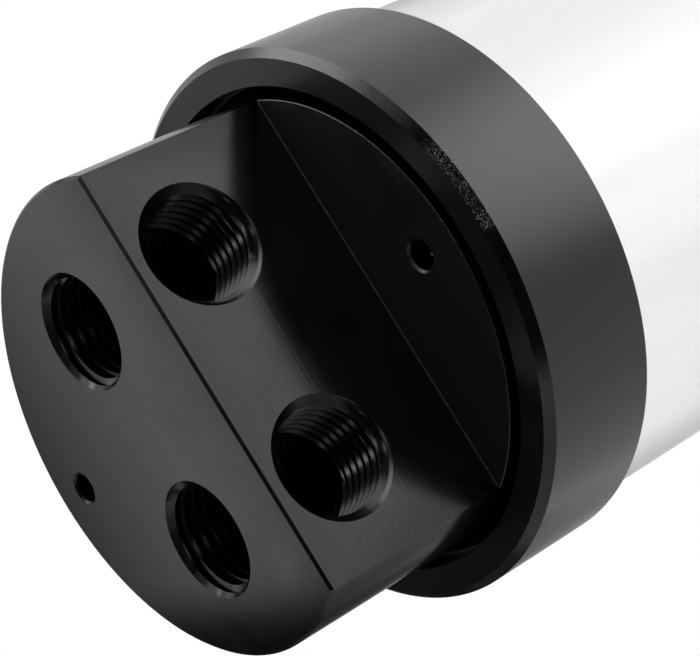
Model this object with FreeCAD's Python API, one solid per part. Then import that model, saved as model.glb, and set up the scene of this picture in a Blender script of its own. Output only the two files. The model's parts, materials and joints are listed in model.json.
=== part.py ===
# Water cooling reservoir: a clear tank tube between a four-port base block and a three-port lid.
# Each end is held to the tube by a union ring and sealed twice, on the tube's end face and in its bore.
# Frame: origin at the centre of the block's end face, +Z up along the tube, the block's flat facing -Y.
import FreeCAD
import Part
import math
import os

# Tube, mm
tube_od = 60.0
tube_wall = 5.0
tube_len = 150.0
thread_step = 1.0           # how far the tube ends are turned down for the union thread, each side
thread_lead = 0.8           # chamfer at the start of that thread
bore_lead = 1.0             # chamfer inside each tube end, for the bore seal to enter

# Union rings
ring_len = 14.9
ring_wall = 2.4             # round the thread
ring_lip = 3.5              # thickness of the inward lip that pulls on the flange
lip_reach = 1.2             # how far the lip reaches under the flange
ring_chamfer = 0.9
ring_edge = 0.1             # edge break outside the ring's far end
ring_lead = 0.4             # chamfer inside it, where the thread starts
lip_edge = 0.1              # edge break inside the lip

# Base block
block_drop = 23.7           # how far the block stands out of its ring
flat_offset = 11.3          # axis to the milled flat
flat_edge = 0.3             # chamfer between the flat and the end face
corner_r = 0.25             # cutter radius left in the corner of flat and ledge
rim_edge = 0.3              # edge break round the end face and round the lid
ledge_edge = 0.08           # edge break round the ledge

# Flange and spigot, the same on block and lid
flange_t = 4.0
spigot_len = 9.0
spigot_lead = 0.8

# Seals, in their squeezed shape
bore_seal_t = 2.0           # radial depth of the bore seal's groove
bore_seal_w = 2.4
bore_seal_land = 1.3        # spigot left between that groove and the lead chamfer
face_seal_t = 1.3
face_seal_w = 1.7
groove_room = 0.4           # how much wider a groove is than its seal
seal_edge = 0.35            # what is taken off the corners of a seal's section

# G1/4 ports
port_d = 13.157
port_edge = 0.17            # broken edge at the mouth of the side ports and the lid's ports
port_gap = 25.0             # between the two ports of a pair
end_port_y = 3.8
end_port_depth = 15.0
side_port_wall = 1.5        # block left between the end face and a side port's mouth
side_port_break = 1.3       # how far a side port breaks into the end port behind it
channel_d = 10.0            # water channel from a port into the tank
lid_port_inset = 12.3       # edge of the lid to the middle of a port
lid_port_depth = 10.0

# M4 fixing holes, drawn at the tapping drill size
fixing_d = 3.3
fixing_depth = 8.0
fixing_inset = 5.8          # edge of the block to the middle of a hole
fixing_edge = 0.25

# Stop plugs of the lid
plug_rim = 0.75             # head outside its seal groove
plug_head_h = 3.0
plug_shank = 6.0
plug_edge = 0.5
plug_tip = 0.8              # chamfer at the end of the shank
plug_hex = 6.0              # hexagon socket, across flats
plug_hex_depth = 4.0
plug_seal_t = 1.4
plug_seal_w = 1.6

# Clearances
thread_gap = 0.3            # union thread, ring to tube, each side
flange_gap = 0.4            # flange to the inside of the ring
block_gap = 1.4             # block and lid to the ring's lip
root_gap = 0.2              # the same at the cone in the corner under the flange
spigot_gap = 0.25           # spigot to the tube's bore
seal_gap = 0.05             # bore seal to the tube's bore
shoulder_gap = 0.5          # end of the ring to the shoulder behind the tube's thread
plug_gap = 0.2              # plug's shank to its port
past = 1.0                  # how far a cutter runs past the face that it opens

# Worked out from the sizes above: radii from the tube, then heights from the end face
tube_r = tube_od / 2
bore_r = tube_r - tube_wall
thread_r = tube_r - thread_step
ring_bore_r = thread_r + thread_gap
ring_r = ring_bore_r + ring_wall
flange_r = ring_bore_r - flange_gap
lip_r = flange_r - lip_reach
block_r = lip_r - block_gap
flange_root = block_gap - root_gap
fixing_r = block_r - fixing_inset
lid_port_r = block_r - lid_port_inset
spigot_r = bore_r - spigot_gap
bore_groove_r = bore_r - bore_seal_t
bore_groove_w = bore_seal_w + groove_room
bore_seal_pos = spigot_len - spigot_lead - bore_seal_land - bore_groove_w / 2
face_seal_r = (bore_r + bore_lead + thread_r - thread_lead) / 2
face_groove_w = face_seal_w + groove_room
port_r = port_d / 2
mouth_r = port_r + port_edge
side_port_z = mouth_r + side_port_wall
side_port_depth = flat_offset + end_port_y - port_r + side_port_break
plug_groove_w = plug_seal_w + groove_room
plug_seal_r = mouth_r + plug_groove_w / 2
plug_head_r = mouth_r + plug_groove_w + plug_rim
thread_len = ring_len - ring_lip - flange_t + shoulder_gap
base_seat = block_drop + ring_lip + flange_t
block_top = base_seat + spigot_len
lid_seat = base_seat + tube_len
lid_drop = flange_t + ring_lip
lid_top = lid_seat + lid_drop
UP = FreeCAD.Vector(0, 0, 1)
DOWN = FreeCAD.Vector(0, 0, -1)
FRONT = FreeCAD.Vector(0, -1, 0)


# A closed outline of (radius, height) points turned about the Z axis.
def turned(points):
    wire = Part.makePolygon([FreeCAD.Vector(r, 0, z) for r, z in points + points[:1]])
    return Part.Face(wire).revolve(FreeCAD.Vector(), UP, 360)


# The same for one end of the tank: heights count from the tube's end, positive into the tube.
def turned_end(points, seat, into_tube):
    return turned([(r, seat + into_tube * s) for r, s in points])


# A squeezed ring seal: a flat-sided section with its corners taken off.
def seal(mid_r, mid_z, width, height):
    w, h = width / 2, height / 2
    corners = [
        (w - seal_edge, -h),
        (w, -h + seal_edge),
        (w, h - seal_edge),
        (w - seal_edge, h),
        (-w + seal_edge, h),
        (-w, h - seal_edge),
        (-w, -h + seal_edge),
        (-w + seal_edge, -h),
    ]
    return turned([(mid_r + x, mid_z + z) for x, z in corners])


# Flange and spigot with both seal grooves, on a plain cylinder that reaches out through the ring.
def end_blank(seat, into_tube, drop):
    groove = face_groove_w / 2
    band = bore_groove_w / 2
    return turned_end(
        [
            (0, -drop),
            (block_r - rim_edge, -drop),
            (block_r, -drop + rim_edge),
            (block_r, -flange_t - flange_root),
            (block_r + flange_root, -flange_t),
            (flange_r, -flange_t),
            (flange_r, 0),
            (face_seal_r + groove, 0),
            (face_seal_r + groove, -face_seal_t),
            (face_seal_r - groove, -face_seal_t),
            (face_seal_r - groove, 0),
            (spigot_r, 0),
            (spigot_r, bore_seal_pos - band),
            (bore_groove_r, bore_seal_pos - band),
            (bore_groove_r, bore_seal_pos + band),
            (spigot_r, bore_seal_pos + band),
            (spigot_r, spigot_len - spigot_lead),
            (spigot_r - spigot_lead, spigot_len),
            (0, spigot_len),
        ],
        seat,
        into_tube,
    )


# A threaded port at the thread's major diameter, with a broken edge or none. out points out of the mouth.
def port(mouth, out, depth, edge):
    start = mouth + out * past
    bore = Part.makeCylinder(port_r, past + depth, start, -out)
    if edge:
        bore = bore.fuse(Part.makeCone(port_r + edge + past, port_r, edge + past, start, -out))
    return bore


def channel(x, y, low, high):
    return Part.makeCylinder(channel_d / 2, high - low, FreeCAD.Vector(x, y, low))


# A blind fixing hole with a broken edge, drilled upwards from the face at z.
def fixing_hole(y, z):
    r = fixing_d / 2
    place = FreeCAD.Vector(0, y, z)
    edge = Part.makeCone(r + fixing_edge + past, r, fixing_edge + past, place - UP * past)
    return Part.makeCylinder(r, fixing_depth + past, place - UP * past).fuse(edge)


# What the mill takes off the block: the flat, its corner radius at the ledge and its chamfer at the end.
def flat_cutter():
    side = block_r + past
    flat, far = -flat_offset, -side
    turn = corner_r * (1 - math.sqrt(0.5))

    def at(y, z):
        return FreeCAD.Vector(-side, y, z)

    outline = [
        Part.LineSegment(at(far, -past), at(far, block_drop)).toShape(),
        Part.LineSegment(at(far, block_drop), at(flat - corner_r, block_drop)).toShape(),
        Part.Arc(
            at(flat - corner_r, block_drop),
            at(flat - turn, block_drop - turn),
            at(flat, block_drop - corner_r),
        ).toShape(),
        Part.LineSegment(at(flat, block_drop - corner_r), at(flat, flat_edge)).toShape(),
        Part.LineSegment(at(flat, flat_edge), at(flat + flat_edge + past, -past)).toShape(),
        Part.LineSegment(at(flat + flat_edge + past, -past), at(far, -past)).toShape(),
    ]
    return Part.Face(Part.Wire(outline)).extrude(FreeCAD.Vector(2 * side, 0, 0))


# The edge break round the ledge, on the milled side only.
def ledge_cutter():
    edge = turned(
        [
            (block_r - ledge_edge, block_drop),
            (block_r + past, block_drop),
            (block_r + past, block_drop + ledge_edge + past),
        ]
    )
    side = 2 * (block_r + past)
    milled = Part.makeBox(side, side, side, FreeCAD.Vector(-side / 2, -flat_offset - side, 0))
    return edge.common(milled)


def base_block():
    body = end_blank(base_seat, 1, base_seat).cut(flat_cutter()).cut(ledge_cutter())
    for x in (-port_gap / 2, port_gap / 2):
        side_mouth = FreeCAD.Vector(x, -flat_offset, side_port_z)
        body = body.cut(port(FreeCAD.Vector(x, end_port_y, 0), DOWN, end_port_depth, 0))
        body = body.cut(port(side_mouth, FRONT, side_port_depth, port_edge))
        body = body.cut(channel(x, end_port_y, end_port_depth - past, block_top + past))
    body = body.cut(fixing_hole(fixing_r, 0))
    return body.cut(fixing_hole(-fixing_r, block_drop))


# A union ring; its lip pulls the flange onto the tube's end.
def union_ring(seat, into_tube):
    face = -flange_t - ring_lip
    back = face + ring_len
    return turned_end(
        [
            (lip_r + lip_edge, face),
            (ring_r - ring_chamfer, face),
            (ring_r, face + ring_chamfer),
            (ring_r, back - ring_edge),
            (ring_r - ring_edge, back),
            (ring_bore_r + ring_lead, back),
            (ring_bore_r, back - ring_lead),
            (ring_bore_r, -flange_t),
            (lip_r, -flange_t),
            (lip_r, face + lip_edge),
        ],
        seat,
        into_tube,
    )


def face_seal(seat, into_tube):
    return seal(face_seal_r, seat - into_tube * face_seal_t / 2, face_seal_w, face_seal_t)


def bore_seal(seat, into_tube):
    thickness = bore_seal_t - seal_gap
    mid_r = bore_groove_r + thickness / 2
    return seal(mid_r, seat + into_tube * bore_seal_pos, thickness, bore_seal_w)


def tube():
    low, high = base_seat, lid_seat
    return turned(
        [
            (bore_r + bore_lead, low),
            (thread_r - thread_lead, low),
            (thread_r, low + thread_lead),
            (thread_r, low + thread_len),
            (tube_r, low + thread_len),
            (tube_r, high - thread_len),
            (thread_r, high - thread_len),
            (thread_r, high - thread_lead),
            (thread_r - thread_lead, high),
            (bore_r + bore_lead, high),
            (bore_r, high - bore_lead),
            (bore_r, low + bore_lead),
        ]
    )


def top_lid(places):
    body = end_blank(lid_seat, -1, lid_drop)
    for x, y in places:
        body = body.cut(port(FreeCAD.Vector(x, y, lid_top), UP, lid_port_depth, port_edge))
        low, high = lid_seat - spigot_len - past, lid_top - lid_port_depth + past
        body = body.cut(channel(x, y, low, high))
    return body


# A stop plug with its head on the lid, a seal groove under the head and a hexagon socket.
def stop_plug(x, y):
    shank_r = port_r - plug_gap
    groove_r = mouth_r + plug_groove_w
    head_top = lid_top + plug_head_h
    body = turned(
        [
            (0, lid_top - plug_shank),
            (shank_r - plug_tip, lid_top - plug_shank),
            (shank_r, lid_top - plug_shank + plug_tip),
            (shank_r, lid_top + plug_seal_t),
            (groove_r, lid_top + plug_seal_t),
            (groove_r, lid_top),
            (plug_head_r, lid_top),
            (plug_head_r, head_top - plug_edge),
            (plug_head_r - plug_edge, head_top),
            (0, head_top),
        ]
    )
    hex_r = plug_hex / math.sqrt(3)
    floor = head_top - plug_hex_depth
    turns = [math.radians(60 * i) for i in range(6)]
    corners = [FreeCAD.Vector(hex_r * math.cos(t), hex_r * math.sin(t), floor) for t in turns]
    socket = Part.Face(Part.makePolygon(corners + corners[:1])).extrude(UP * (plug_hex_depth + past))
    body = body.cut(socket)
    body.translate(FreeCAD.Vector(x, y, 0))
    return body


def plug_seal(x, y):
    ring = seal(plug_seal_r, lid_top + plug_seal_t / 2, plug_seal_w, plug_seal_t)
    ring.translate(FreeCAD.Vector(x, y, 0))
    return ring


# The lid's ports, a third of a turn apart, with the fill port at the back.
plug_names = ("fill_plug", "return_plug", "vent_plug")
plug_angles = [math.radians(90 + 120 * i) for i in range(len(plug_names))]
plug_places = [(lid_port_r * math.cos(a), lid_port_r * math.sin(a)) for a in plug_angles]

nodes = {
    "base_block": base_block(),
    "base_ring": union_ring(base_seat, 1),
    "base_face_seal": face_seal(base_seat, 1),
    "base_bore_seal": bore_seal(base_seat, 1),
    "tube": tube(),
    "top_lid": top_lid(plug_places),
    "top_ring": union_ring(lid_seat, -1),
    "top_face_seal": face_seal(lid_seat, -1),
    "top_bore_seal": bore_seal(lid_seat, -1),
}
for name, (x, y) in zip(plug_names, plug_places):
    nodes[name] = stop_plug(x, y)
    nodes[name + "_seal"] = plug_seal(x, y)

os.makedirs("parts", exist_ok=True)
for name, shape in nodes.items():
    shape.exportStep(f"parts/{name}.step")
    print(f"{name}: {len(shape.Solids)} solid, valid {shape.isValid()}, {shape.Volume / 1000:.2f} cm3")
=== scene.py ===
import json
import math

import bmesh
import bpy
from mathutils import Matrix, Vector


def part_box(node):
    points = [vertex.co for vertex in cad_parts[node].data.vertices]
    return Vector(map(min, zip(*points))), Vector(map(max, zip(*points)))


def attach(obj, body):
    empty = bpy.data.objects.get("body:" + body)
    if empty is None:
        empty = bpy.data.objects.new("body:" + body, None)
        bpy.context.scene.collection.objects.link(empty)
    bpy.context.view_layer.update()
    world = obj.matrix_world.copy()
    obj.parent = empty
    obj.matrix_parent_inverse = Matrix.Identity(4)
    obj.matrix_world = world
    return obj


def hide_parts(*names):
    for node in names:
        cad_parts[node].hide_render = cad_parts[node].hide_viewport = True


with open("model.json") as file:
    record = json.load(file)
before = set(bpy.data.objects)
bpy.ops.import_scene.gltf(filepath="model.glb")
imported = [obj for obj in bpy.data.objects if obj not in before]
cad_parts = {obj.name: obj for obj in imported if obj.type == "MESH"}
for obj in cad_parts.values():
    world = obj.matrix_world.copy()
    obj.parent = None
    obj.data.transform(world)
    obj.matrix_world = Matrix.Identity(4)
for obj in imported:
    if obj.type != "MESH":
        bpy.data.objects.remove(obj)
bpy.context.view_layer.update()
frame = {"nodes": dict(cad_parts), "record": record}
print("frame loaded:", len(frame["nodes"]), "nodes")

mm = 0.001
boreholes = {mount["name"]: mount for mount in frame["record"]["mounts"]}

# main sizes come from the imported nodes, the rest is in mm beside each piece
tubeLow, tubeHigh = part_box("tube")
ringLow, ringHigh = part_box("base_ring")
tubeR = tubeHigh.x
ringR = ringHigh.x
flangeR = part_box("base_block")[1].x
baseSeat = tubeLow.z
lidSeat = tubeHigh.z
ringFace = ringLow.z
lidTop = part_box("top_lid")[1].z
portR = boreholes["left_end_port"]["dims"]["r_mm"] * mm
fixingR = boreholes["end_fixing_hole"]["dims"]["r_mm"] * mm

roundness = {"large": 256, "port": 96, "fixing": 48, "seal": 128}  # sides of a full turn


def inMetres(sizes):
    return {key: value * mm for key, value in sizes.items()}


# small helpers for node trees
def feed(tree, socket, value):
    if isinstance(value, bpy.types.NodeSocket):
        tree.links.new(value, socket)
    else:
        socket.default_value = value


def addNode(tree, kind, settings=None, inputs=None):
    node = tree.nodes.new(kind)
    for key, value in (settings or {}).items():
        setattr(node, key, value)
    for key, value in (inputs or {}).items():
        feed(tree, node.inputs[key], value)
    return node


def calc(tree, operation, *terms):
    return addNode(tree, "ShaderNodeMath", {"operation": operation}, dict(enumerate(terms))).outputs[0]


def vectorCalc(tree, operation, *terms, give="Vector"):
    node = addNode(tree, "ShaderNodeVectorMath", {"operation": operation}, dict(enumerate(terms)))
    return node.outputs[give]


def scaled(tree, vector, share):
    inputs = {0: vector, "Scale": share}
    return addNode(tree, "ShaderNodeVectorMath", {"operation": "SCALE"}, inputs).outputs[0]


def split(tree, vector):
    return addNode(tree, "ShaderNodeSeparateXYZ", None, {0: vector}).outputs


def join(tree, *parts):
    return addNode(tree, "ShaderNodeCombineXYZ", None, dict(enumerate(parts))).outputs[0]


def ramp(tree, value, start, end, low=0.0, high=1.0, kind="LINEAR"):
    inputs = dict(enumerate((value, start, end, low, high)))
    return addNode(tree, "ShaderNodeMapRange", {"interpolation_type": kind}, inputs).outputs[0]


def mixValue(tree, share, first, second):
    return addNode(tree, "ShaderNodeMix", None, {"Factor": share, "A": first, "B": second}).outputs[0]


# the Mix node keeps its colour sockets at 6 and 7, and the colour it puts out at 2
def mixColour(tree, share, first, second):
    inputs = {"Factor": share, 6: first, 7: second}
    return addNode(tree, "ShaderNodeMix", {"data_type": "RGBA"}, inputs).outputs[2]


def newGroup(name, kind, inputs, outputs):
    tree = bpy.data.node_groups.new(name, kind)
    for way, sockets in (("INPUT", inputs), ("OUTPUT", outputs)):
        for label, socketKind in sockets:
            tree.interface.new_socket(label, in_out=way, socket_type="NodeSocket" + socketKind)
    return tree, addNode(tree, "NodeGroupInput").outputs, addNode(tree, "NodeGroupOutput").inputs


# a geometry tree ends in real geometry with its material
def endTree(tree, geometry, finish, result):
    tree.is_modifier = True
    real = addNode(tree, "GeometryNodeRealizeInstances", None, {0: geometry})
    painted = addNode(tree, "GeometryNodeSetMaterial", None,
                      {"Geometry": real.outputs[0], "Material": finish})
    feed(tree, result, painted.outputs[0])
    return tree


# in mm: how far off the wall a point still belongs to it, and the run of a thread that leaves through an end
threadSizes = {"wallSlack": 0.02, "sharpEnd": 0.1}
threadRun = inMetres(threadSizes)


# thread cut into a plain wall: right-handed, rounded at crest and root
def buildThreadTree():
    inputs = [("Blank", "Geometry"), ("Wall radius", "Float"), ("Pitch", "Float"), ("Depth", "Float"),
              ("Start", "Float"), ("Run in", "Float"), ("End", "Float"), ("Run out", "Float"),
              ("Finish", "Material")]
    tree, given, result = newGroup("threadForm", "GeometryNodeTree", inputs, [("Thread", "Geometry")])
    x, y, z = split(tree, addNode(tree, "GeometryNodeInputPosition").outputs[0])
    flat = join(tree, x, y)
    radius = vectorCalc(tree, "LENGTH", flat, give="Value")
    turn = calc(tree, "DIVIDE", calc(tree, "ARCTAN2", y, x), math.tau)
    phase = calc(tree, "FRACT", calc(tree, "SUBTRACT", calc(tree, "DIVIDE", z, given["Pitch"]), turn))
    wave = calc(tree, "MULTIPLY", calc(tree, "PINGPONG", phase, 0.5), 2.0)  # up and down once a turn
    groove = ramp(tree, wave, 0.0, 1.0, 1.0, 0.0, "SMOOTHSTEP")
    runIn = ramp(tree, z, given["Start"], calc(tree, "ADD", given["Start"], given["Run in"]))
    runOut = ramp(tree, z, given["End"], calc(tree, "SUBTRACT", given["End"], given["Run out"]))
    cut = calc(tree, "MINIMUM", groove, calc(tree, "MINIMUM", runIn, runOut))
    target = calc(tree, "SUBTRACT", given["Wall radius"], calc(tree, "MULTIPLY", given["Depth"], cut))
    change = calc(tree, "DIVIDE", calc(tree, "MINIMUM", radius, target), radius)
    half = calc(tree, "DIVIDE", given["Depth"], 2.0)
    middle = calc(tree, "SUBTRACT", given["Wall radius"], half)
    offWall = calc(tree, "ABSOLUTE", calc(tree, "SUBTRACT", radius, middle))
    onWall = calc(tree, "LESS_THAN", offWall, calc(tree, "ADD", half, threadRun["wallSlack"]))
    shift = scaled(tree, flat, calc(tree, "SUBTRACT", change, 1.0))
    moved = addNode(tree, "GeometryNodeSetPosition", None,
                    {"Geometry": given["Blank"], "Selection": onWall, "Offset": shift})
    return endTree(tree, moved.outputs[0], given["Finish"], result["Thread"])


# the pitch over the width of a ridge's top, the same for its two flanks, and the turns ahead of the mouth
ridgeForm = {"pitchPerCrest": 6.0, "pitchPerFlanks": 1.5, "spareTurns": 2}


# a port's thread: the ridge left standing in the bore, flat-topped and wound on a spiral
def buildRidgeTree():
    inputs = [("Wall radius", "Float"), ("Pitch", "Float"), ("Depth", "Float"), ("Past", "Float"),
              ("Turns", "Float"), ("Steps", "Int"), ("Finish", "Material")]
    tree, given, result = newGroup("threadRidge", "GeometryNodeTree", inputs, [("Ridge", "Geometry")])
    height = calc(tree, "ADD", given["Depth"], given["Past"])
    outside = calc(tree, "ADD", given["Wall radius"], given["Past"])
    middle = calc(tree, "SUBTRACT", outside, calc(tree, "DIVIDE", height, 2.0))
    length = calc(tree, "MULTIPLY", given["Turns"], given["Pitch"])
    spiral = addNode(tree, "GeometryNodeCurveSpiral", None,
                     {"Resolution": given["Steps"], "Rotations": given["Turns"], "Start Radius": middle,
                      "End Radius": middle, "Height": length, "Reverse": True})
    crest = calc(tree, "DIVIDE", given["Pitch"], ridgeForm["pitchPerCrest"])
    flanks = calc(tree, "MULTIPLY", calc(tree, "DIVIDE", height, given["Depth"]),
                  calc(tree, "DIVIDE", given["Pitch"], ridgeForm["pitchPerFlanks"]))
    section = addNode(tree, "GeometryNodeCurvePrimitiveQuadrilateral", {"mode": "TRAPEZOID"},
                      {"Height": height, "Bottom Width": calc(tree, "ADD", crest, flanks),
                       "Top Width": crest, "Offset": 0.0})
    section = addNode(tree, "GeometryNodeTransform", None,
                      {"Geometry": section.outputs[0], "Rotation": (0, 0, math.radians(90))})
    upright = addNode(tree, "GeometryNodeSetCurveNormal", {"mode": "Z_UP"}, {"Curve": spiral.outputs[0]})
    swept = addNode(tree, "GeometryNodeCurveToMesh", None,
                    {"Curve": upright.outputs[0], "Profile Curve": section.outputs[0], "Fill Caps": True})
    return endTree(tree, swept.outputs[0], given["Finish"], result["Ridge"])


threadTree = buildThreadTree()
ridgeTree = buildRidgeTree()


# meshes
def linkMesh(name, mesh):
    piece = bpy.data.objects.new(name, mesh)
    bpy.context.scene.collection.objects.link(piece)
    return piece


def keepForm(name, form):
    bmesh.ops.recalc_face_normals(form, faces=form.faces)
    mesh = bpy.data.meshes.new(name)
    form.to_mesh(mesh)
    form.free()
    return linkMesh(name, mesh)


def keepResult(piece):
    seen = piece.evaluated_get(bpy.context.evaluated_depsgraph_get())
    mesh = bpy.data.meshes.new_from_object(seen)
    piece.modifiers.clear()
    piece.data = mesh


# a closed outline of (radius, height) turned about Z
def lathe(name, outline, sides):
    form = bmesh.new()
    angles = [math.tau * i / sides for i in range(sides)]
    rows = []
    for r, z in outline:
        if r == 0:
            rows.append([form.verts.new((0, 0, z))] * sides)
        else:
            rows.append([form.verts.new((r * math.cos(a), r * math.sin(a), z)) for a in angles])
    for lower, upper in zip(rows, rows[1:] + rows[:1]):
        for i in range(sides):
            corners = [lower[i - 1], lower[i], upper[i], upper[i - 1]]
            corners = list(dict.fromkeys(corners))
            if len(corners) > 2:
                form.faces.new(corners)
    return keepForm(name, form)


def cylinder(name, radius, low, high):
    return lathe(name, [(0, low), (radius, low), (radius, high), (0, high)], roundness["port"])


# a closed outline drawn in one plane and pushed along the third axis
def prism(name, outline, depth, lay):
    form = bmesh.new()
    caps = [[form.verts.new(lay(a, b, side)) for a, b in outline] for side in depth]
    form.faces.new(caps[0])
    form.faces.new(caps[1])
    for i in range(len(outline)):
        form.faces.new([caps[0][i - 1], caps[0][i], caps[1][i], caps[1][i - 1]])
    return keepForm(name, form)


def alongX(y, z, x):
    return x, y, z


def alongZ(x, y, z):
    return x, y, z


def place(piece, *turns):
    for turn in turns:
        piece.data.transform(turn)
    return piece


def combine(piece, other, operation="DIFFERENCE"):
    step = piece.modifiers.new("cut", "BOOLEAN")
    step.operation = operation
    step.solver = "MANIFOLD"
    step.object = other
    keepResult(piece)
    bpy.data.objects.remove(other)
    return piece


# wall rows that are close enough together for a thread
def threadRows(radius, start, end, pitch, rowsPerTurn=16):
    count = max(2, round(abs(end - start) / pitch * rowsPerTurn))
    return [(radius, start + (end - start) * i / count) for i in range(count + 1)]


def applyTree(piece, tree, finish, sizes):
    step = piece.modifiers.new("thread", "NODES")
    step.node_group = tree
    values = dict(sizes, Finish=finish)
    for item in tree.interface.items_tree:
        if item.in_out == "INPUT" and item.name in values:
            step[item.identifier] = values[item.name]
    keepResult(piece)
    return piece


# form holds the thread's pitch and depth, span its two ends and runs the length each end takes to fade
def cutThread(piece, finish, radius, form, span, runs):
    return applyTree(piece, threadTree, finish,
                     {"Wall radius": radius, "Pitch": form["pitch"], "Depth": form["depth"],
                      "Start": span[0], "Run in": runs[0], "End": span[1], "Run out": runs[1]})


# shaded smooth up to the crease, in degrees
def handIn(piece, node, body, finish, crease=32):
    mesh = piece.data
    mesh.materials.clear()
    mesh.materials.append(finish)
    mesh.polygons.foreach_set("use_smooth", [True] * len(mesh.polygons))
    mesh.polygons.foreach_set("material_index", [0] * len(mesh.polygons))
    mesh.set_sharp_from_angle(angle=math.radians(crease))
    mesh.update()
    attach(piece, body)
    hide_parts(node)
    print("piece", piece.name, len(mesh.polygons), "faces")
    return piece


# finishes
def grey(level):
    return level, level, level, 1


def newFinish(name, sockets):
    material = bpy.data.materials.new(name)
    material.use_nodes = True
    tree = material.node_tree
    shader = tree.nodes["Principled BSDF"]
    for label, value in sockets.items():
        shader.inputs[label].default_value = value
    return material, tree, shader


noiseSpan = (0.3, 0.7)  # most of a noise texture's values lie in here
cellMiddle = (0.5, 0.5, 0.5)  # the mean of the random colours of a cell texture


# rings that a lathe tool leaves, and the finer grain along them
def buildTurnedMarks():
    inputs = [("Vector", "Vector"), ("Rings", "Float"), ("Wander", "Float")]
    tree, given, result = newGroup("turnedMarks", "ShaderNodeTree", inputs, [("Height", "Float")])
    x, y, z = split(tree, given["Vector"])
    flat = join(tree, x, y)
    radius = vectorCalc(tree, "LENGTH", flat, give="Value")
    around = split(tree, vectorCalc(tree, "NORMALIZE", flat))
    track = calc(tree, "MULTIPLY", calc(tree, "ADD", radius, z), given["Rings"])
    spread = [calc(tree, "MULTIPLY", part, given["Wander"]) for part in around[:2]]
    noise = addNode(tree, "ShaderNodeTexNoise", None,
                    {"Vector": join(tree, track, *spread), "Scale": 1.0, "Detail": 3.0})
    feed(tree, result["Height"], noise.outputs["Fac"])
    return tree


# straight passes of a mill along X
def buildMilledMarks():
    inputs = [("Vector", "Vector"), ("Passes", "Float"), ("Along", "Float")]
    tree, given, result = newGroup("milledMarks", "ShaderNodeTree", inputs, [("Height", "Float")])
    x, y, z = split(tree, given["Vector"])
    along = calc(tree, "MULTIPLY", x, given["Along"])
    across = calc(tree, "MULTIPLY", calc(tree, "ADD", y, z), given["Passes"])
    noise = addNode(tree, "ShaderNodeTexNoise", None,
                    {"Vector": join(tree, along, across), "Scale": 1.0, "Detail": 4.0})
    feed(tree, result["Height"], noise.outputs["Fac"])
    return tree


# soft smudges from handling
def buildHandling():
    inputs = [("Vector", "Vector"), ("Size", "Float"), ("Least", "Float"), ("Most", "Float")]
    tree, given, result = newGroup("handling", "ShaderNodeTree", inputs, [("Value", "Float")])
    noise = addNode(tree, "ShaderNodeTexNoise", None,
                    {"Vector": given["Vector"], "Scale": given["Size"], "Detail": 5.0, "Roughness": 0.6})
    value = ramp(tree, noise.outputs["Fac"], *noiseSpan, given["Least"], given["Most"])
    feed(tree, result["Value"], value)
    return tree


# scattered round specks: a share of the cells holds one
def buildSpecks():
    inputs = [("Vector", "Vector"), ("Scale", "Float"), ("Share", "Float"), ("Size", "Float")]
    tree, given, result = newGroup("specks", "ShaderNodeTree", inputs, [("Height", "Float")])
    cells = addNode(tree, "ShaderNodeTexVoronoi", None, {"Vector": given["Vector"], "Scale": given["Scale"]})
    pick = addNode(tree, "ShaderNodeSeparateColor", None, {0: cells.outputs["Color"]}).outputs[0]
    chosen = calc(tree, "LESS_THAN", pick, given["Share"])
    dome = ramp(tree, cells.outputs["Distance"], 0.0, given["Size"], 1.0, 0.0, "SMOOTHSTEP")
    feed(tree, result["Height"], calc(tree, "MULTIPLY", chosen, dome))
    return tree


# a torn edge: small facets, each leaning its own way
def buildFacets():
    inputs = [("Vector", "Vector"), ("Normal", "Vector"), ("Scale", "Float"), ("Tilt", "Float")]
    tree, given, result = newGroup("facets", "ShaderNodeTree", inputs, [("Normal", "Vector")])
    cells = addNode(tree, "ShaderNodeTexVoronoi", None, {"Vector": given["Vector"], "Scale": given["Scale"]})
    lean = vectorCalc(tree, "SUBTRACT", cells.outputs["Color"], cellMiddle)
    turned = vectorCalc(tree, "ADD", given["Normal"], scaled(tree, lean, given["Tilt"]))
    feed(tree, result["Normal"], vectorCalc(tree, "NORMALIZE", turned))
    return tree


turnedMarks = buildTurnedMarks()
milledMarks = buildMilledMarks()
handling = buildHandling()
specks = buildSpecks()
facets = buildFacets()


def placeGroup(tree, group, **values):
    return addNode(tree, "ShaderNodeGroup", {"node_tree": group}, values).outputs[0]


def bumpNormal(tree, height, strength, depth, under=None, sunk=False):
    inputs = {"Strength": strength, "Distance": depth * mm, "Height": height}
    if under is not None:
        inputs["Normal"] = under
    return addNode(tree, "ShaderNodeBump", {"invert": sunk}, inputs).outputs[0]


def grainNormal(tree, vector, look):
    noise = addNode(tree, "ShaderNodeTexNoise", None,
                    {"Vector": vector, "Scale": look["grain"], "Detail": look["detail"]})
    return bumpNormal(tree, noise.outputs["Fac"], look["strength"], look["depth"])


acetalLook = {"ior": 1.48, "black": 0.0008, "grey": 0.0018, "smudge": 90.0, "least": 0.13, "most": 0.2,
              "rings": 9000.0, "wander": 3.0, "strength": 0.12, "depth": 0.01, "tear": 12000.0}
millLook = {"passes": 2200.0, "along": 60.0, "passDepth": 5.5, "ledgeRough": 0.25, "brokenTilt": 0.24,
            "brokenRough": 0.2, "sinkShare": 0.5}
turnLook = {"faceRough": 0.15, "plainTilt": 0.05, "tornTilt": 0.5, "torn": (-9.0, -5.0, 0.5, 2.6),
            "pits": 420.0, "pitShare": 0.3, "pitSize": 0.05, "pitStrength": 0.7, "pitDepth": 0.06}

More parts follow.
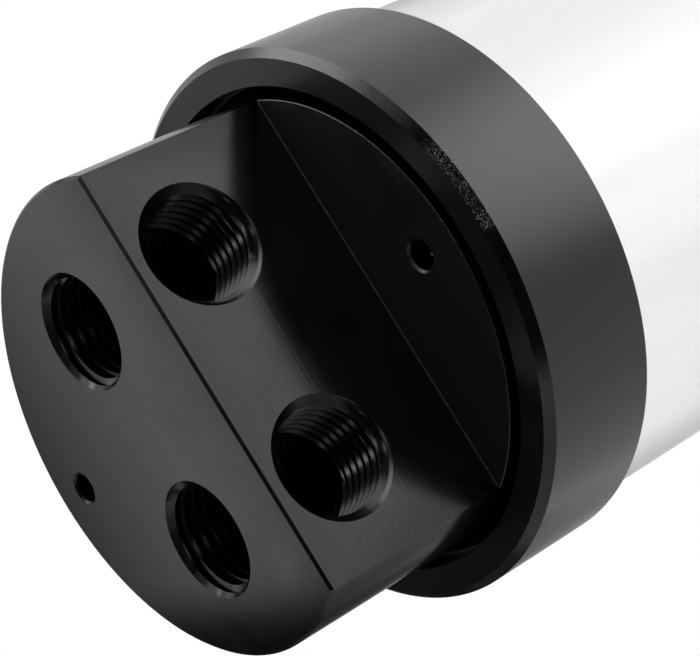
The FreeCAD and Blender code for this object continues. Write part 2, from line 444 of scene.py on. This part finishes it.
# ramps of a normal's part that pick a face, and heights in mm round the block's end face and ledge
facing = {"square": (-0.9, -0.99), "bevel": (0.12, 0.04), "offSquare": (-0.98, -0.9),
          "offSide": (-0.02, -0.1)}
heights = {"near": 0.5, "clear": 1.0, "rim": 0.3}
bevelSlope = math.sqrt(0.5)


# the block's milled faces, its ledge, and its rough edges: the side ports' countersinks and the ledge's rim
def blockMasks(tree, spot):
    h = inMetres(heights)
    ny, nz = split(tree, spot["Normal"])[1:]
    z = split(tree, spot["Object"])[2]
    onFlat = ramp(tree, ny, *facing["square"])
    atLedge = ramp(tree, z, ringFace - h["clear"], ringFace - h["near"])
    onLedge = calc(tree, "MULTIPLY", ramp(tree, nz, *facing["square"]), atLedge)
    offSink = calc(tree, "ABSOLUTE", calc(tree, "ADD", ny, bevelSlope))
    underLedge = calc(tree, "LESS_THAN", z, ringFace - h["clear"])
    onSide = calc(tree, "MULTIPLY", ramp(tree, z, h["near"], h["clear"]), underLedge)
    onSink = calc(tree, "MULTIPLY", ramp(tree, offSink, *facing["bevel"]), onSide)
    sloped = calc(tree, "MULTIPLY", ramp(tree, nz, *facing["offSquare"]), ramp(tree, nz, *facing["offSide"]))
    onRim = calc(tree, "MULTIPLY", sloped, calc(tree, "COMPARE", z, ringFace, h["rim"]))
    broken = calc(tree, "MAXIMUM", calc(tree, "MULTIPLY", onSink, millLook["sinkShare"]), onRim)
    return calc(tree, "MAXIMUM", onFlat, onLedge), onLedge, broken


# a ring's face, and how far the facets of its bevel lean: most where the tool has torn it
def ringMasks(tree, spot):
    nz = split(tree, spot["Normal"])[2]
    x, y = split(tree, spot["Object"])[:2]
    onFace = ramp(tree, nz, *facing["square"])
    offBevel = calc(tree, "ABSOLUTE", calc(tree, "SUBTRACT", calc(tree, "ABSOLUTE", nz), bevelSlope))
    begin, full, fade, end = [value * mm for value in turnLook["torn"]]
    torn = calc(tree, "MULTIPLY", ramp(tree, x, begin, full), ramp(tree, x, end, fade))
    torn = calc(tree, "MULTIPLY", torn, calc(tree, "LESS_THAN", y, 0.0))
    tilt = ramp(tree, torn, 0.0, 1.0, turnLook["plainTilt"], turnLook["tornTilt"])
    return onFace, calc(tree, "MULTIPLY", tilt, ramp(tree, offBevel, *facing["bevel"]))


def acetalFinish(name, milled):
    look = acetalLook
    material, tree, shader = newFinish(name, {"IOR": look["ior"]})
    spot = addNode(tree, "ShaderNodeTexCoord").outputs
    vector = spot["Object"]
    smudge = placeGroup(tree, handling, Vector=vector, Size=look["smudge"], Least=0.0, Most=1.0)
    feed(tree, shader.inputs["Base Color"], mixColour(tree, smudge, grey(look["black"]), grey(look["grey"])))
    rough = ramp(tree, smudge, 0.0, 1.0, look["least"], look["most"])
    height = placeGroup(tree, turnedMarks, Vector=vector, Rings=look["rings"], Wander=look["wander"])
    if milled:
        onMilled, onLedge, broken = blockMasks(tree, spot)
        passes = placeGroup(tree, milledMarks, Vector=vector, Passes=millLook["passes"],
                            Along=millLook["along"])
        height = mixValue(tree, onMilled, height, calc(tree, "MULTIPLY", passes, millLook["passDepth"]))
        rough = calc(tree, "MULTIPLY_ADD", onLedge, millLook["ledgeRough"], rough)
        rough = calc(tree, "MULTIPLY_ADD", broken, millLook["brokenRough"], rough)
        tilt = calc(tree, "MULTIPLY", broken, millLook["brokenTilt"])
    else:
        onFace, tilt = ringMasks(tree, spot)
        rough = calc(tree, "MULTIPLY_ADD", onFace, turnLook["faceRough"], rough)
    feed(tree, shader.inputs["Roughness"], rough)
    normal = bumpNormal(tree, height, look["strength"], look["depth"])
    if not milled:
        pits = placeGroup(tree, specks, Vector=vector, Scale=turnLook["pits"], Share=turnLook["pitShare"],
                          Size=turnLook["pitSize"])
        normal = bumpNormal(tree, pits, turnLook["pitStrength"], turnLook["pitDepth"], normal, sunk=True)
    normal = placeGroup(tree, facets, Vector=vector, Normal=normal, Scale=look["tear"], Tilt=tilt)
    feed(tree, shader.inputs["Normal"], normal)
    return material


acrylicLook = {"ior": 1.49, "tint": (0.93, 0.932, 0.932, 1), "streaks": (400.0, 400.0, 12.0), "least": 0.1,
               "most": 0.16}


def acrylicFinish():
    look = acrylicLook
    material, tree, shader = newFinish("clearAcrylic", {"IOR": look["ior"], "Base Color": look["tint"],
                                                        "Transmission Weight": 1.0})
    spot = addNode(tree, "ShaderNodeTexCoord").outputs
    stretch = addNode(tree, "ShaderNodeMapping", None, {"Vector": spot["Object"], "Scale": look["streaks"]})
    noise = addNode(tree, "ShaderNodeTexNoise", None, {"Vector": stretch.outputs[0], "Scale": 1.0})
    rough = ramp(tree, noise.outputs["Fac"], *noiseSpan, look["least"], look["most"])
    feed(tree, shader.inputs["Roughness"], rough)
    return material


rubberLook = {"black": 0.012, "smudge": 300.0, "least": 0.4, "most": 0.6, "grain": 6000.0, "detail": 2.0,
              "strength": 0.2, "depth": 0.02}


def rubberFinish():
    look = rubberLook
    material, tree, shader = newFinish("nitrileRubber", {"Base Color": grey(look["black"])})
    vector = addNode(tree, "ShaderNodeTexCoord").outputs["Object"]
    rough = placeGroup(tree, handling, Vector=vector, Size=look["smudge"], Least=look["least"],
                       Most=look["most"])
    feed(tree, shader.inputs["Roughness"], rough)
    feed(tree, shader.inputs["Normal"], grainNormal(tree, vector, look))
    return material


platedLook = {"dark": (0.035, 0.035, 0.037, 1), "worn": (0.055, 0.053, 0.052, 1), "smudge": 200.0,
              "least": 0.28, "most": 0.36, "grain": 4000.0, "detail": 3.0, "strength": 0.1, "depth": 0.01}


def platedFinish():
    look = platedLook
    material, tree, shader = newFinish("blackPlatedBrass", {"Metallic": 1.0})
    vector = addNode(tree, "ShaderNodeTexCoord").outputs["Object"]
    smudge = placeGroup(tree, handling, Vector=vector, Size=look["smudge"], Least=0.0, Most=1.0)
    feed(tree, shader.inputs["Base Color"], mixColour(tree, smudge, look["dark"], look["worn"]))
    feed(tree, shader.inputs["Roughness"], ramp(tree, smudge, 0.0, 1.0, look["least"], look["most"]))
    feed(tree, shader.inputs["Normal"], grainNormal(tree, vector, look))
    return material


blockFinish = acetalFinish("acetalBlock", milled=True)
ringFinish = acetalFinish("acetalRing", milled=False)
acrylic = acrylicFinish()
rubber = rubberFinish()
plated = platedFinish()
print("finishes ready")

# sizes that block, lid, rings and tube share, in mm
unionSizes = {"pitch": 2.0, "depth": 1.0, "threadStep": 1.0, "threadGap": 0.3, "threadLength": 7.9,
              "lead": 0.8}
endSizes = {
    "flange": 4.0, "lip": 3.5, "lipReach": 1.2, "blockGap": 1.4, "root": 1.2, "wall": 5.0, "boreLead": 1.0,
    "spigot": 9.0, "spigotGap": 0.25, "spigotLead": 0.8, "rimEdge": 0.3, "grooveRoom": 0.4,
    "boreSealDepth": 2.0, "boreSealWidth": 2.4, "boreSealLand": 1.3,
    "faceSealDepth": 1.3, "faceSealWidth": 1.7,
}
union = inMetres(unionSizes)
ends = inMetres(endSizes)

threadR = tubeR - union["threadStep"]
ringBoreR = threadR + union["threadGap"]
boreR = tubeR - ends["wall"]
lipR = flangeR - ends["lipReach"]
blockR = lipR - ends["blockGap"]
spigotR = boreR - ends["spigotGap"]
faceSealR = (boreR + ends["boreLead"] + threadR - union["lead"]) / 2
boreGroove = ends["boreSealWidth"] + ends["grooveRoom"]
boreSealAt = ends["spigot"] - ends["spigotLead"] - ends["boreSealLand"] - boreGroove / 2
blockTop = baseSeat + ends["spigot"]

portSizes = {"edge": 0.17, "pitch": 1.337, "depth": 0.856, "channel": 10.0, "past": 1.0, "skin": 0.1}
port = inMetres(portSizes)
mouthR = portR + port["edge"]


# a port's cutter with its mouth at height 0 and the thread going up from a countersink
def portCutter(depth, edge, ridgeAt=0.0):
    past, pitch, spare = port["past"], port["pitch"], ridgeForm["spareTurns"]
    cutter = cylinder("portCutter", portR, -past, depth)
    ridge = linkMesh("threadRidge", bpy.data.meshes.new("threadRidge"))
    applyTree(ridge, ridgeTree, blockFinish,
              {"Wall radius": portR, "Pitch": pitch, "Depth": port["depth"], "Past": port["skin"],
               "Turns": float(math.ceil(depth / pitch) + spare), "Steps": roundness["port"]})
    combine(cutter, place(ridge, Matrix.Translation((0, 0, ridgeAt - spare * pitch))))
    minorR, inner = portR - port["depth"], edge + port["depth"]
    outline = [(0, -past), (portR + edge + past, -past), (minorR, inner), (0, inner)]
    return combine(cutter, lathe("sinkCutter", outline, roundness["port"]), "UNION")


def channelCutter(x, y, low, high):
    return place(cylinder("channelCutter", port["channel"] / 2, low, high), Matrix.Translation((x, y, 0)))


# flange, spigot and both seal grooves; heights count from the tube's end, positive into the tube
def endOutline(seat, intoTube, drop):
    e = ends
    half = (e["faceSealWidth"] + e["grooveRoom"]) / 2
    band = boreGroove / 2
    points = [
        (0, -drop), (blockR - e["rimEdge"], -drop), (blockR, -drop + e["rimEdge"]),
        (blockR, -e["flange"] - e["root"]), (blockR + e["root"], -e["flange"]),
        (flangeR, -e["flange"]), (flangeR, 0),
        (faceSealR + half, 0), (faceSealR + half, -e["faceSealDepth"]),
        (faceSealR - half, -e["faceSealDepth"]), (faceSealR - half, 0),
        (spigotR, 0), (spigotR, boreSealAt - band), (boreR - e["boreSealDepth"], boreSealAt - band),
        (boreR - e["boreSealDepth"], boreSealAt + band), (spigotR, boreSealAt + band),
        (spigotR, e["spigot"] - e["spigotLead"]), (spigotR - e["spigotLead"], e["spigot"]), (0, e["spigot"]),
    ]
    return [(r, seat + intoTube * s) for r, s in points]


blockSizes = {"flat": 11.3, "flatEdge": 0.3, "corner": 0.25, "ledgeEdge": 0.08, "ledgeRoom": 0.01,
              "endPortDepth": 15.0, "sidePortDepth": 9.82, "past": 1.0}
cornerStep = 18  # degrees between the points of the corner under the ledge


def buildBlock():
    b = inMetres(blockSizes)
    piece = lathe("baseBlock", endOutline(baseSeat, 1, baseSeat), roundness["large"])
    side, flat = blockR + b["past"], -b["flat"]
    outline = [(-side, -b["past"]), (-side, ringFace)]
    for a in [math.radians(angle) for angle in range(90, -1, -cornerStep)]:
        outline.append((flat - b["corner"] + b["corner"] * math.cos(a),
                        ringFace - b["corner"] + b["corner"] * math.sin(a)))
    outline += [(flat, b["flatEdge"]), (flat + b["flatEdge"] + b["past"], -b["past"])]
    combine(piece, prism("flatCutter", outline, (-side, side), alongX))
    combine(piece, ledgeCutter(b, side, flat))
    for name in ("left", "right"):
        x, y, _ = boreholes[name + "_end_port"]["pos_m"]
        combine(piece, place(portCutter(b["endPortDepth"], 0), Matrix.Translation((x, y, 0))))
        combine(piece, channelCutter(x, y, b["endPortDepth"] - b["past"], blockTop + b["past"]))
        x, _, z = boreholes[name + "_side_port"]["pos_m"]
        combine(piece, place(portCutter(b["sidePortDepth"], port["edge"]),
                             Matrix.Rotation(math.radians(-90), 4, "X"), Matrix.Translation((x, flat, z))))
    for name, face in (("end_fixing_hole", 0), ("ledge_fixing_hole", ringFace)):
        combine(piece, place(fixingCutter(), Matrix.Translation((0, boreholes[name]["pos_m"][1], face))))
    return handIn(piece, "base_block", "base", blockFinish)


# breaks the rim of the ledge, on the milled side of the block only
def ledgeCutter(b, side, flat):
    edge, low = blockR - b["ledgeEdge"], ringFace - b["past"]
    outline = [(edge - b["past"], low), (side, low), (side, ringFace + side - edge)]
    rim = lathe("ledgeCutter", outline, roundness["large"])
    far, end = 2 * side, flat - b["ledgeRoom"]
    half = [(-far, 0), (end, 0), (end, baseSeat), (-far, baseSeat)]
    return combine(rim, prism("milledSide", half, (-far, far), alongX), "INTERSECT")


fixingSizes = {"length": 8.0, "edge": 0.25, "plain": 2.6, "pitch": 0.7, "depth": 0.22, "past": 1.0}
fixingForm = {"rowsPerTurn": 12, "tipSlope": 0.5}


# an M4 hole with its broken edge, drilled upwards
def fixingCutter():
    f = inMetres(fixingSizes)
    major = fixingR + f["depth"]
    start = f["plain"] + f["depth"]
    rows = threadRows(major, start, f["length"], f["pitch"], fixingForm["rowsPerTurn"])
    outline = [(0, -f["past"]), (fixingR + f["edge"] + f["past"], -f["past"]), (fixingR, f["edge"]),
               (fixingR, f["plain"])] + rows + [(0, f["length"] + major * fixingForm["tipSlope"])]
    cutter = lathe("fixingCutter", outline, roundness["fixing"])
    return cutThread(cutter, blockFinish, major, f, (start, f["length"] + f["past"]),
                     (f["depth"], threadRun["sharpEnd"]))


ringSizes = {"length": 14.9, "chamfer": 0.9, "edge": 0.1, "lead": 0.4, "lipEdge": 0.1, "runIn": 1.0}


def buildRing(name, node, body, seat, intoTube):
    r = inMetres(ringSizes)
    face = -ends["flange"] - ends["lip"]
    back = face + r["length"]
    rows = threadRows(ringBoreR, back - r["lead"], -ends["flange"], union["pitch"])
    points = [(lipR + r["lipEdge"], face), (ringR - r["chamfer"], face), (ringR, face + r["chamfer"]),
              (ringR, back - r["edge"]), (ringR - r["edge"], back), (ringBoreR + r["lead"], back)]
    points += rows + [(lipR, -ends["flange"]), (lipR, face + r["lipEdge"])]
    piece = lathe(name, [(a, seat + intoTube * s) for a, s in points], roundness["large"])
    span = sorted((seat, seat + intoTube * (back - r["lead"])))
    cutThread(piece, ringFinish, ringBoreR, union, span, (r["runIn"], r["runIn"]))
    return handIn(piece, node, body, ringFinish)


def buildTube():
    t = union
    low, high = baseSeat, lidSeat
    inner = boreR + ends["boreLead"]
    rows = threadRows(threadR, low + t["lead"], low + t["threadLength"], t["pitch"])
    upperRows = threadRows(threadR, high - t["threadLength"], high - t["lead"], t["pitch"])
    leadRows = threadRows(threadR, low, low + t["lead"], t["pitch"])[:-1]
    leadIn = [(r - (low + t["lead"] - z), z) for r, z in leadRows]
    leadOut = [(r, low + high - z) for r, z in reversed(leadIn)]
    outline = [(inner, low)] + leadIn + rows + [(tubeR, low + t["threadLength"])]
    outline += [(tubeR, high - t["threadLength"])] + upperRows + leadOut
    outline += [(inner, high), (boreR, high - ends["boreLead"]), (boreR, low + ends["boreLead"])]
    piece = lathe("clearTube", outline, roundness["large"])
    runs = (threadRun["sharpEnd"], t["depth"])
    cutThread(piece, acrylic, threadR, t, (low - t["depth"], low + t["threadLength"]), runs)
    cutThread(piece, acrylic, threadR, t, (high - t["threadLength"], high + t["depth"]), runs[::-1])
    return handIn(piece, "tube", "tank", acrylic)


lidSizes = {"portDepth": 10.0}
plugSizes = {"rim": 0.75, "head": 3.0, "shank": 6.0, "edge": 0.5, "tip": 0.8, "hex": 6.0, "hexDepth": 4.0,
             "sealHeight": 1.4, "sealWidth": 1.6, "sealSlack": 0.01, "gap": 0.2, "past": 1.0}
plug = inMetres(plugSizes)
plugNames = ("fill", "return", "vent")


def plugPlace(name):
    low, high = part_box(name + "_plug")
    return (low.x + high.x) / 2, (low.y + high.y) / 2


# turned over, with its ridge where the plug's thread leaves room for it
def lidPortCutter(x, y, depth):
    cutter = portCutter(depth, port["edge"], lidTop % port["pitch"])
    return place(cutter, Matrix.Rotation(math.pi, 4, "X"), Matrix.Translation((x, y, lidTop)))


def buildLid():
    depth = lidSizes["portDepth"] * mm
    channel = (lidSeat - ends["spigot"] - port["past"], lidTop - depth + port["past"])
    piece = lathe("topLid", endOutline(lidSeat, -1, ends["flange"] + ends["lip"]), roundness["large"])
    for name in plugNames:
        x, y = plugPlace(name)
        combine(piece, lidPortCutter(x, y, depth))
        combine(piece, channelCutter(x, y, *channel))
    return handIn(piece, "top_lid", "lid", blockFinish)


def buildPlug(name):
    p = plug
    shankR = portR - p["gap"]
    grooveR = mouthR + p["sealWidth"] + ends["grooveRoom"]
    headR = grooveR + p["rim"]
    headTop = lidTop + p["head"]
    sealTop = lidTop + p["sealHeight"]
    tip = lidTop - p["shank"]
    rows = threadRows(shankR, tip + p["tip"], lidTop, port["pitch"])
    leadRows = threadRows(shankR, tip, tip + p["tip"], port["pitch"])[:-1]
    outline = [(0, tip)] + [(r - (tip + p["tip"] - z), z) for r, z in leadRows] + rows
    outline += [(shankR, sealTop), (grooveR, sealTop), (grooveR, lidTop), (headR, lidTop),
                (headR, headTop - p["edge"]), (headR - p["edge"], headTop), (0, headTop)]
    piece = lathe(name + "Plug", outline, roundness["port"])
    cutThread(piece, plated, shankR, port, (tip - port["depth"], lidTop),
              (threadRun["sharpEnd"], port["depth"]))
    hexR = p["hex"] / math.sqrt(3)
    turns = [math.radians(angle) for angle in range(0, 360, 60)]
    corners = [(hexR * math.cos(a), hexR * math.sin(a)) for a in turns]
    combine(piece, prism("socketCutter", corners, (headTop - p["hexDepth"], headTop + p["past"]), alongZ))
    place(piece, Matrix.Translation((*plugPlace(name), 0)))
    return handIn(piece, name + "_plug", name + "_plug", plated)


# points of a seal's section, the power that flattens it, its crease in degrees and the bore seals' gap in mm
sealForm = {"points": 24, "press": 0.7, "crease": 60, "boreGap": 0.05}


def pressed(value):
    return math.copysign(abs(value) ** sealForm["press"], value)


# a squeezed ring seal: round on its free sides, flattened where it is pressed
def buildSeal(name, node, body, middle, half, at=(0, 0), sides=roundness["seal"]):
    (radius, height), (halfWidth, halfHeight) = middle, half
    turns = [math.tau * i / sealForm["points"] for i in range(sealForm["points"])]
    outline = [(radius + halfWidth * pressed(math.cos(a)), height + halfHeight * pressed(math.sin(a)))
               for a in turns]
    piece = place(lathe(name, outline, sides), Matrix.Translation((*at, 0)))
    return handIn(piece, node, body, rubber, sealForm["crease"])


def buildSeals():
    boreHalf = (ends["boreSealDepth"] - sealForm["boreGap"] * mm) / 2
    boreMiddle = boreR - ends["boreSealDepth"] + boreHalf
    for name, seat, into, body in (("base", baseSeat, 1, "base"), ("top", lidSeat, -1, "lid")):
        buildSeal(name + "FaceSeal", name + "_face_seal", body,
                  (faceSealR, seat - into * ends["faceSealDepth"] / 2),
                  (ends["faceSealWidth"] / 2, ends["faceSealDepth"] / 2))
        buildSeal(name + "BoreSeal", name + "_bore_seal", body,
                  (boreMiddle, seat + into * boreSealAt), (boreHalf, ends["boreSealWidth"] / 2))
    plugMiddle = mouthR + (plug["sealWidth"] + ends["grooveRoom"]) / 2
    for name in plugNames:
        buildSeal(name + "PlugSeal", name + "_plug_seal", name + "_seal",
                  (plugMiddle, lidTop + plug["sealHeight"] / 2),
                  (plug["sealWidth"] / 2, plug["sealHeight"] / 2 - plug["sealSlack"]),
                  plugPlace(name), roundness["port"])


buildBlock()
buildRing("baseRing", "base_ring", "base_ring", baseSeat, 1)
buildTube()
buildLid()
buildRing("topRing", "top_ring", "top_ring", lidSeat, -1)
for plugName in plugNames:
    buildPlug(plugName)
buildSeals()
print("pieces ready")

# camera solved from the outlines in the photograph: mm and degrees
view = {"place": (25.627, -195.379, -116.694), "turn": (147.5216, -45.7784, -41.0663), "lens": 116.192,
        "sensor": 36.0, "near": 10.0}


def buildCamera():
    data = bpy.data.cameras.new("photoCamera")
    data.lens = view["lens"]
    data.sensor_width = view["sensor"]
    data.clip_start = view["near"] * mm
    camera = bpy.data.objects.new("photoCamera", data)
    camera.location = [value * mm for value in view["place"]]
    camera.rotation_euler = [math.radians(value) for value in view["turn"]]
    bpy.context.scene.collection.objects.link(camera)
    bpy.context.scene.camera = camera


# what the black plastic mirrors: a pale room with round patches, each laid over those before it
# a patch is azimuth, elevation, the radius it fills, the radius where it ends, all in degrees, and its level
studio = {
    "room": 0.88,
    "ambient": 0.75,
    "backdrop": 1.0,
    "patches": [
        (-82, 42, 10, 30, 1.25),
        (-158, 28, 14, 30, 0.62),
        (-20, 58, 6, 34, 3.6),
        (-97, -20, 6, 25, 4.6),
        (-86, 14, 4, 26, 2.5),
        (-68, -4, 6, 34, 3.6),
        (100, -30, 10, 30, 0.53),
        (65, 4, 16, 34, 0.3),
        (2, -36, 40, 51, 0.006),
        (115, -75, 26, 40, 0.08),
        (132, 22, 14, 17, 0.4),
        (158, 22, 13, 16, 0.35),
        (155, 4, 22, 46, 0.02),
        (140, -2, 6, 14, 0.09),
        (142, -38, 8, 20, 0.04),
        (178, -42, 16, 34, 0.02),
        (151, -11, 4, 11, 0.38),
        (-100, -37, 4, 12, 1.1),
        (-119, -23, 5, 11, 0.8),
        (-70, -47, 6, 14, 0.3),
        (-28, -10, 6, 13, 0.1),
        (33, -7, 4, 10, 0.08),
        (-21, -45, 6, 11, 1.7),
        (-16, -41, 1.5, 4, 11.0),
        (-14, -18, 1, 4, 5.5),
        (20, -15, 1, 4, 1.3),
        (30, 7, 6, 10, 0.12),
        (33, 17, 5, 10, 0.1),
    ],
}


def toward(azimuth, elevation):
    a, e = math.radians(azimuth), math.radians(elevation)
    return math.sin(a) * math.cos(e), -math.cos(a) * math.cos(e), math.sin(e)


def buildWorld():
    world = bpy.data.worlds.new("studio")
    bpy.context.scene.world = world
    world.use_nodes = True
    tree = world.node_tree
    direction = addNode(tree, "ShaderNodeTexCoord").outputs["Generated"]
    level = studio["room"]
    for azimuth, elevation, full, edge, value in studio["patches"]:
        close = vectorCalc(tree, "DOT_PRODUCT", direction, toward(azimuth, elevation), give="Value")
        outer, inner = [math.cos(math.radians(angle)) for angle in (edge, full)]
        level = mixValue(tree, ramp(tree, close, outer, inner, kind="SMOOTHSTEP"), level, value)
    path = addNode(tree, "ShaderNodeLightPath").outputs
    level = mixValue(tree, path["Is Glossy Ray"], studio["ambient"], level)
    seen = calc(tree, "MAXIMUM", path["Is Camera Ray"], path["Is Transmission Ray"])
    level = mixValue(tree, seen, level, studio["backdrop"])
    background = tree.nodes["Background"].inputs
    feed(tree, background["Strength"], level)
    background["Color"].default_value = grey(1)


def sheet(name, corners):
    mesh = bpy.data.meshes.new(name)
    mesh.from_pydata(corners, [], [(0, 1, 2, 3)])
    return linkMesh(name, mesh)


# size in metres, drop below the block's end in mm
floorLook = {"size": 3.0, "drop": 0.4, "pale": 0.82, "rough": 0.9}


def buildFloor():
    half = floorLook["size"] / 2
    z = -floorLook["drop"] * mm
    floor = sheet("floor", [(-half, -half, z), (half, -half, z), (half, half, z), (-half, half, z)])
    material, tree, shader = newFinish("paleFloor", {"Base Color": grey(floorLook["pale"]),
                                                     "Roughness": floorLook["rough"],
                                                     "Specular IOR Level": 0.0})
    clear = addNode(tree, "ShaderNodeBsdfTransparent")
    below = addNode(tree, "ShaderNodeNewGeometry").outputs["Backfacing"]
    mix = addNode(tree, "ShaderNodeMixShader", None, {0: below, 1: shader.outputs[0], 2: clear.outputs[0]})
    feed(tree, tree.nodes["Material Output"].inputs["Surface"], mix.outputs[0])
    floor.data.materials.append(material)
    floor.visible_glossy = False
    floor.visible_diffuse = False
    floor.visible_shadow = False


# a pale card near the block's end, seen only in reflections and fading towards its upper edge
cardSizes = {"y": 80.0, "left": -130.0, "right": 26.0, "low": -65.0, "high": 0.0, "fadeLow": -56.0,
             "fadeHigh": -14.0, "liftStart": -40.0, "liftEnd": -52.0, "lift": 14.0, "softness": 8.0}
cardLook = {"lean": 0.4, "level": 1.16}


def buildCard():
    c = inMetres(cardSizes)
    rim = ((c["left"], c["low"]), (c["right"], c["low"]), (c["right"], c["high"]), (c["left"], c["high"]))
    card = sheet("card", [(x, c["y"], z) for x, z in rim])
    material, tree, _ = newFinish("paleCard", {})
    x, _, z = split(tree, addNode(tree, "ShaderNodeTexCoord").outputs["Object"])
    lift = ramp(tree, x, c["liftStart"], c["liftEnd"], 0.0, c["lift"], kind="SMOOTHSTEP")
    up = ramp(tree, calc(tree, "SUBTRACT", z, lift), c["fadeHigh"], c["fadeLow"], kind="SMOOTHSTEP")
    aboveFade = calc(tree, "SUBTRACT", z, c["fadeLow"])
    leaning = calc(tree, "MULTIPLY_ADD", aboveFade, cardLook["lean"], x)
    side = ramp(tree, leaning, c["right"], c["right"] - c["softness"], kind="SMOOTHSTEP")
    foot = ramp(tree, z, c["low"], c["low"] + c["softness"], kind="SMOOTHSTEP")
    share = calc(tree, "MULTIPLY", calc(tree, "MULTIPLY", up, side), foot)
    level = calc(tree, "MULTIPLY", share, cardLook["level"])
    glow = addNode(tree, "ShaderNodeEmission", None, {"Strength": level})
    feed(tree, tree.nodes["Material Output"].inputs["Surface"], glow.outputs[0])
    card.data.materials.append(material)
    for kind in ("camera", "diffuse", "transmission", "volume_scatter", "shadow"):
        setattr(card, "visible_" + kind, False)


# a soft lamp, in degrees, metres and watts
lampLook = {"azimuth": -20, "elevation": 52, "distance": 0.9, "size": 0.5, "power": 1.2}


def buildLamp():
    data = bpy.data.lights.new("softBox", "AREA")
    data.size = lampLook["size"]
    data.energy = lampLook["power"]
    lamp = bpy.data.objects.new("softBox", data)
    middle = Vector((0, 0, (ringFace + lidTop) / 2))
    way = Vector(toward(lampLook["azimuth"], lampLook["elevation"]))
    lamp.location = middle + way * lampLook["distance"]
    lamp.rotation_euler = way.to_track_quat("Z", "Y").to_euler()
    lamp.visible_camera = False
    lamp.visible_glossy = False
    bpy.context.scene.collection.objects.link(lamp)


buildCamera()
buildWorld()
buildFloor()
buildCard()
buildLamp()
bpy.context.scene.view_settings.view_transform = "Standard"
print("stage ready")
